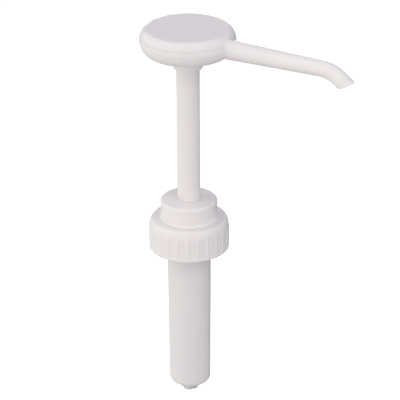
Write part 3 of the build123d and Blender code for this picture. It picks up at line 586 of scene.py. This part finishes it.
def make_return_spring():
    """Compression spring with closed ends that are ground flat."""
    outer_r, bottom, top = reach("return_spring")
    coil_r = outer_r - WIRE_R

    def steepness(turn):
        ends = min(turn, SPRING_TURNS - turn)
        return smooth_step(ends, CLOSED_TURNS - EASE_TURNS, CLOSED_TURNS + EASE_TURNS)

    count = int(SPRING_TURNS * STEPS_PER_TURN)
    turns = [k / STEPS_PER_TURN for k in range(count + 1)]
    closed_pitch = 2 * WIRE_R
    rise = [0.0]
    for turn in turns[1:]:
        rise.append(rise[-1] + steepness(turn) / STEPS_PER_TURN)
    inset = WIRE_R / 3  # the end coils are ground to a third below their middle
    spare = top - bottom - 2 * inset - closed_pitch * SPRING_TURNS
    heights = [bottom + inset + closed_pitch * t + spare * r / rise[-1] for t, r in zip(turns, rise)]
    rows = []
    for turn, height in zip(turns, heights):
        angle = FULL_TURN * turn
        out = Vector((cos(angle), sin(angle), 0))
        row = []
        for side in range(WIRE_SIDES):
            around = FULL_TURN * side / WIRE_SIDES
            point = (coil_r + WIRE_R * cos(around)) * out
            point.z = min(max(height + WIRE_R * sin(around), bottom), top)
            row.append(point)
        rows.append(row)
    bm = skin(rows, closed_rows=False)
    bm.verts.ensure_lookup_table()
    for end in (range(WIRE_SIDES), range(len(bm.verts) - WIRE_SIDES, len(bm.verts))):
        bm.faces.new([bm.verts[k] for k in end])
    bmesh.ops.recalc_face_normals(bm, faces=bm.faces)
    spring = add_piece("coil_spring", bm, "housing", "spring_steel", ["return_spring"])
    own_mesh(spring)


# ------------------------------------------------------------------ spout
SPOUT_Z = 109.3
SPIGOT_X, ROOT_X, BEND_X = 7.0, 14.0, 78.9
SPIGOT_R, ROOT_R, TIP_R, BORE_R = 4.6, 5.6, 4.22, 2.8
SPIGOT_EDGE, SPIGOT_BORE_EDGE, SPIGOT_ROOT, ROOT_EDGE = 0.4, 0.3, 0.1, 0.3
SEAL_X, SEAL_WIDTH, SEAL_GROOVE_R, SEAL_GROOVE_EDGE, SEAL_GROOVE_ROOT = 10.4, 1.2, 3.8, 0.1, 0.15
BEND_RADIUS, BEND_TURN = 17.65, radians(36.4)
TIP_LENGTH, MOUTH_TILT = 5.3, radians(27.0)
LIP_R, BORE_EDGE_R = 0.45, 0.25
PARTING_HEIGHT, PARTING_WIDTH = 0.05, radians(4)
HOLE_EDGE_R = 5.6  # just outside the hole in the head that the spout goes into
FLARE_MEAN, FLARE_SWING = 1.05, 0.3  # of the fillet where the spout meets the head
FLARE_SUNK, FLARE_LIFT, FLARE_TUCK = 0.3, 0.1, 0.4
INSIDE_XS, FLARE_END_X = (16, 18, 20), 28.0
SPOUT_SIDES, SMOOTH_SPAN = 64, 3
FLARE_STEPS, RUN_STEPS, BORE_STEPS, BEND_STEPS, TIP_STEPS = 8, 23, 24, 16, 4
SPIGOT_ARC_STEPS, LIP_STEPS, BORE_EDGE_STEPS = 3, 5, 4
RUN, BEND_END = BEND_X - ROOT_X, BEND_X - ROOT_X + BEND_RADIUS * BEND_TURN
SPOUT_ANGLES = sorted(
    [FULL_TURN * k / SPOUT_SIDES for k in range(SPOUT_SIDES)]
    + [side + PARTING_WIDTH * k for side in (0, pi) for k in (-0.5, 0.5)]
)


def spout_place(along):
    """Point, direction and upward normal of the spout's centre line at this length from ROOT_X."""
    turn = min(max((along - RUN) / BEND_RADIUS, 0.0), BEND_TURN)
    direction, up = Vector((cos(turn), 0, -sin(turn))), Vector((sin(turn), 0, cos(turn)))
    start = Vector((ROOT_X + min(along, RUN), 0, SPOUT_Z))
    arc = BEND_RADIUS * Vector((sin(turn), 0, cos(turn) - 1))
    beyond = max(along - RUN - BEND_RADIUS * BEND_TURN, 0.0)
    return start + arc + beyond * direction, direction, up


def spout_radius(x):
    return ROOT_R + (TIP_R - ROOT_R) * (x - ROOT_X) / (BEND_X - ROOT_X)


def spout_ring(along, radius, seam=True):
    """A ring round the centre line at this length from ROOT_X, with the faint parting lines."""
    centre, _, up = spout_place(along)
    row = []
    for a in SPOUT_ANGLES:
        off_seam = min(a % pi, pi - a % pi)
        ridge = PARTING_HEIGHT * (1 - smooth_step(off_seam, 0, PARTING_WIDTH)) if seam else 0
        row.append(centre + (radius + ridge) * (cos(a) * up + Vector((0, sin(a), 0))))
    return row


def tip_ring(share, radius, back, seam=True):
    """A ring this share of the way from the bend to the mouth, less a distance back from it."""
    mouth = Vector((sin(MOUTH_TILT), 0, -cos(MOUTH_TILT)))
    centre, direction, up = spout_place(BEND_END)
    row = []
    for point in spout_ring(BEND_END, radius, seam):
        slant = (point - centre).dot(up) * up.dot(mouth) / direction.dot(mouth)
        row.append(point + (share * (TIP_LENGTH - slant) - back) * direction)
    return row


def spigot_rows():
    """The spigot that plugs into the head, with its O-ring groove, and the spout inside the head."""
    outline = [
        (BORE_R, SPIGOT_X, SPIGOT_BORE_EDGE),
        (SPIGOT_R, SPIGOT_X, SPIGOT_EDGE),
        (SPIGOT_R, SEAL_X, SEAL_GROOVE_EDGE),
        (SEAL_GROOVE_R, SEAL_X, SEAL_GROOVE_ROOT),
        (SEAL_GROOVE_R, SEAL_X + SEAL_WIDTH, SEAL_GROOVE_ROOT),
        (SPIGOT_R, SEAL_X + SEAL_WIDTH, SEAL_GROOVE_EDGE),
        (SPIGOT_R, ROOT_X, SPIGOT_ROOT),
        (ROOT_R, ROOT_X, ROOT_EDGE),
        (ROOT_R, ROOT_X + 1, 0),
    ]
    points = rounded(outline, SPIGOT_ARC_STEPS)[:-1]
    rows = [spout_ring(x - ROOT_X, radius, seam=x > ROOT_X) for radius, x in points]
    return rows + [spout_ring(x - ROOT_X, spout_radius(x)) for x in INSIDE_XS]


def head_face(angle, radius):
    """Where the head's outside is, along X, at this place round the spout's centre line."""
    start = Vector((BEND_X, radius * sin(angle), SPOUT_Z + radius * cos(angle)))
    faces = []
    for name in ("head_base", "head_cover"):
        hit, place, _, _ = frame["nodes"][name].ray_cast(MM * start, Vector((-1, 0, 0)))
        faces.append(place.x / MM if hit else ROOT_X)
    return max(faces)


def smoothed(values):
    """A closed row of values, each replaced by the mean of those near it in the row."""
    near = range(-SMOOTH_SPAN, SMOOTH_SPAN + 1)
    return [sum(values[(k + j) % len(values)] for j in near) / len(near) for k in range(len(values))]


def flare_rows():
    """Rows that leave the spout, run out along the head's face and come back in a fillet."""
    face = smoothed([head_face(a, HOLE_EDGE_R) for a in SPOUT_ANGLES])
    size = [FLARE_MEAN + FLARE_SWING * cos(a) for a in SPOUT_ANGLES]
    tube = [spout_radius(x) for x in face]
    brim_r = [radius + out for radius, out in zip(tube, size)]
    brim = smoothed([head_face(a, radius) for a, radius in zip(SPOUT_ANGLES, brim_r)])
    outline = [
        [(x - FLARE_TUCK, radius) for x, radius in zip(face, tube)],
        [(x - FLARE_SUNK, HOLE_EDGE_R) for x in face],
        [(x - FLARE_SUNK, radius) for x, radius in zip(brim, brim_r)],
    ]
    for share in (k / FLARE_STEPS for k in range(FLARE_STEPS + 1)):
        row = []
        for k in range(len(SPOUT_ANGLES)):
            edge = Vector((brim[k] - FLARE_SUNK + FLARE_LIFT, brim_r[k]))
            corner = Vector((face[k] + FLARE_LIFT, tube[k]))
            end = Vector((face[k] + size[k], spout_radius(face[k] + size[k])))
            row.append(tuple(edge.lerp(corner, share).lerp(corner.lerp(end, share), share)))
        outline.append(row)
    return [
        [Vector((x, r * sin(a), SPOUT_Z + r * cos(a))) for (x, r), a in zip(row, SPOUT_ANGLES)]
        for row in outline
    ]


def tube_rows():
    """The tapered run and the bend, outside."""
    xs = [FLARE_END_X + (BEND_X - FLARE_END_X) * k / RUN_STEPS for k in range(RUN_STEPS + 1)]
    rows = [spout_ring(x - ROOT_X, spout_radius(x)) for x in xs]
    for k in range(1, BEND_STEPS + 1):
        rows.append(spout_ring(RUN + BEND_RADIUS * BEND_TURN * k / BEND_STEPS, TIP_R))
    return rows


def mouth_rows():
    """The straight tip, the soft lip round the slanted mouth and the edge of the bore."""
    rows = [tip_ring(k / TIP_STEPS, TIP_R, LIP_R) for k in range(1, TIP_STEPS + 1)]
    for k in range(1, LIP_STEPS + 1):
        turn = pi / 2 * k / LIP_STEPS
        radius, back = TIP_R - LIP_R * (1 - cos(turn)), LIP_R * (1 - sin(turn))
        rows.append(tip_ring(1, radius, back, seam=False))
    for k in range(BORE_EDGE_STEPS + 1):
        turn = pi / 2 * k / BORE_EDGE_STEPS
        radius, back = BORE_R + BORE_EDGE_R * (1 - sin(turn)), BORE_EDGE_R * (1 - cos(turn))
        rows.append(tip_ring(1, radius, back, seam=False))
    return rows


def bore_rows():
    """The bore, from the mouth back to the spigot."""
    tip = range(TIP_STEPS - 1, 0, -1)
    rows = [tip_ring(k / TIP_STEPS, BORE_R, BORE_EDGE_R, seam=False) for k in tip]
    bend = [RUN + BEND_RADIUS * BEND_TURN * k / BEND_STEPS for k in range(BEND_STEPS, -1, -1)]
    run = [RUN * k / BORE_STEPS for k in range(BORE_STEPS - 1, 0, -1)]
    return rows + [spout_ring(along, BORE_R, seam=False) for along in bend + run]


def make_spout():
    """Tapered tube that bends down to a slanted mouth.  A small flare hides the hole where it
    goes into the head."""
    rows = spigot_rows() + flare_rows() + tube_rows() + mouth_rows() + bore_rows()
    add_piece("spout_tube", skin(rows), "plunger", "moulded_white", ["spout"])


# ------------------------------------------------------------------ put together
def repaint_cad():
    """Every CAD node takes its finish from its record slot."""
    slots = {part["node"]: part["material_slot"] for part in frame["record"]["subparts"]}
    for name, node in frame["nodes"].items():
        node.data.materials.clear()
        node.data.materials.append(FINISH[slots[name]])


add_camera()
add_lamps()
add_sky()
add_stage()
bpy.context.scene.view_settings.view_transform = "Standard"
FINISH = make_finishes()
repaint_cad()
make_closure()
make_collar()
make_neck_gasket()
make_piston_seal()
make_stem_wiper()
make_return_spring()
make_spout()
